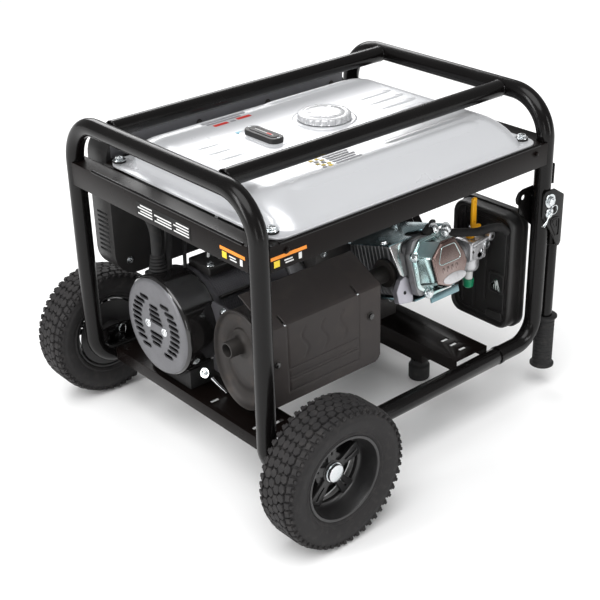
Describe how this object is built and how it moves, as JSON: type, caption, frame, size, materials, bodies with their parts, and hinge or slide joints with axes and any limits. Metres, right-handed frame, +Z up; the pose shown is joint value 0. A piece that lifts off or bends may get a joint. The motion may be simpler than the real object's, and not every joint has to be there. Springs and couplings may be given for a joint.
{
  "type": "portable generator",
  "caption": "Open-frame portable generator on wheels with fuel tank, engine, alternator, muffler, control panel and folding handles.",
  "frame": {"origin": "on the floor, at the middle of the bounding box", "axes": "+X from the alternator end to the engine end, +Y from the muffler side to the control panel side, +Z up"},
  "size_m": [0.7673, 0.74, 0.5999],
  "materials": {
    "frame": "satin black powder coat",
    "silver": "silver metallic paint",
    "plastic": "fine-textured black plastic",
    "steel": "bright zinc",
    "zinc": "blue zinc plate",
    "alloy": "as-cast aluminium",
    "iron": "heat-resistant matt paint",
    "rotor": "varnished laminations and windings",
    "rubber": "matt",
    "tyre": "matt",
    "orange": "satin",
    "face": "satin",
    "red": "gloss"
  },
  "bodies": {
    "frame": {"end_hoop_left": "frame", "end_hoop_right": "frame", "lower_rail_near": "frame", "lower_rail_far": "frame", "top_bar_near": "frame", "top_bar_far": "frame", "tank_rail_front": "frame", "tank_rail_back": "frame", "tank_rail_left": "frame", "tank_rail_right": "frame", "cross_member_left": "frame", "cross_member_right": "frame", "panel_housing": "frame", "fuel_tank": "silver", "fuel_gauge": "plastic", "alternator_cover": "plastic", "blower_housing": "plastic", "recoil_starter": "plastic", "air_cleaner": "plastic", "air_cleaner_lid": "plastic", "round_socket_left": "plastic", "round_socket_right": "plastic", "duplex_socket_left": "plastic", "duplex_socket_right": "plastic", "voltmeter": "plastic", "handle_pivot_near": "steel", "handle_pivot_far": "steel", "axle_near": "steel", "axle_far": "steel", "valve_cover": "steel", "cylinder_shroud": "zinc", "alternator_bell": "alloy", "engine_block": "alloy", "cylinder_and_head": "alloy", "carburettor": "alloy", "alternator_stator": "iron", "muffler": "iron", "muffler_shield": "iron", "rubber_foot_near": "rubber", "rubber_foot_far": "rubber", "alternator_mount": "rubber", "output_lead": "rubber", "panel_face": "face"},
    "wheel_near": {"tyre_near": "tyre", "wheel_rim_near": "plastic"},
    "wheel_far": {"tyre_far": "tyre", "wheel_rim_far": "plastic"},
    "handle_near": {"handle_arm_near": "frame", "handle_grip_near": "rubber"},
    "handle_far": {"handle_arm_far": "frame", "handle_grip_far": "rubber"},
    "lock_pin_near": {"handle_lock_pin_near": "steel"},
    "lock_pin_far": {"handle_lock_pin_far": "steel"},
    "filler_cap": {"fuel_cap": "silver"},
    "choke": {"choke_lever": "orange"},
    "starter_pull": {"starter_grip": "rubber"},
    "rotor": {"rotor_and_crankshaft": "rotor"},
    "switch": {"engine_switch": "red"},
    "button_left": {"breaker_button_left": "red"},
    "button_right": {"breaker_button_right": "red"}
  },
  "joints": [
    {"name": "wheel_near_spin", "type": "hinge", "parent": "frame", "child": "wheel_near", "pos_m": [-0.259, -0.331, 0.125], "axis": [0, 1, 0], "continuous": true},
    {"name": "wheel_far_spin", "type": "hinge", "parent": "frame", "child": "wheel_far", "pos_m": [-0.259, 0.331, 0.125], "axis": [0, 1, 0], "continuous": true},
    {"name": "handle_near_fold", "type": "hinge", "parent": "frame", "child": "handle_near", "pos_m": [0.325, -0.25, 0.399], "axis": [0, -1, 0], "range_deg": [0, 90]},
    {"name": "handle_far_fold", "type": "hinge", "parent": "frame", "child": "handle_far", "pos_m": [0.325, 0.25, 0.399], "axis": [0, -1, 0], "range_deg": [0, 90]},
    {"name": "lock_pin_near_slide", "type": "slide", "parent": "handle_near", "child": "lock_pin_near", "axis": [0, -1, 0], "range_m": [0, 0.02]},
    {"name": "lock_pin_far_slide", "type": "slide", "parent": "handle_far", "child": "lock_pin_far", "axis": [0, 1, 0], "range_m": [0, 0.02]},
    {"name": "fuel_cap_turn", "type": "hinge", "parent": "frame", "child": "filler_cap", "pos_m": [0.034, 0.005, 0.565], "axis": [0, 0, 1], "range_deg": [0, 90]},
    {"name": "choke_turn", "type": "hinge", "parent": "frame", "child": "choke", "pos_m": [0.249, -0.152, 0.325], "axis": [0, 0, 1], "range_deg": [0, 40]},
    {"name": "starter_pull_slide", "type": "slide", "parent": "frame", "child": "starter_pull", "axis": [1, 0, 0], "range_m": [0, 0.45], "stiffness_N_per_m": 50, "springref_m": -0.1},
    {"name": "rotor_spin", "type": "hinge", "parent": "frame", "child": "rotor", "pos_m": [0, 0.074, 0.241], "axis": [1, 0, 0], "continuous": true},
    {"name": "switch_rock", "type": "hinge", "parent": "frame", "child": "switch", "pos_m": [0.15, 0.2693, 0.45], "axis": [1, 0, 0], "range_deg": [0, 12]},
    {"name": "breaker_left_press", "type": "slide", "parent": "frame", "child": "button_left", "axis": [0, -1, 0], "range_m": [0, 0.003], "stiffness_N_per_m": 600},
    {"name": "breaker_right_press", "type": "slide", "parent": "frame", "child": "button_right", "axis": [0, -1, 0], "range_m": [0, 0.003], "stiffness_N_per_m": 600}
  ]
}
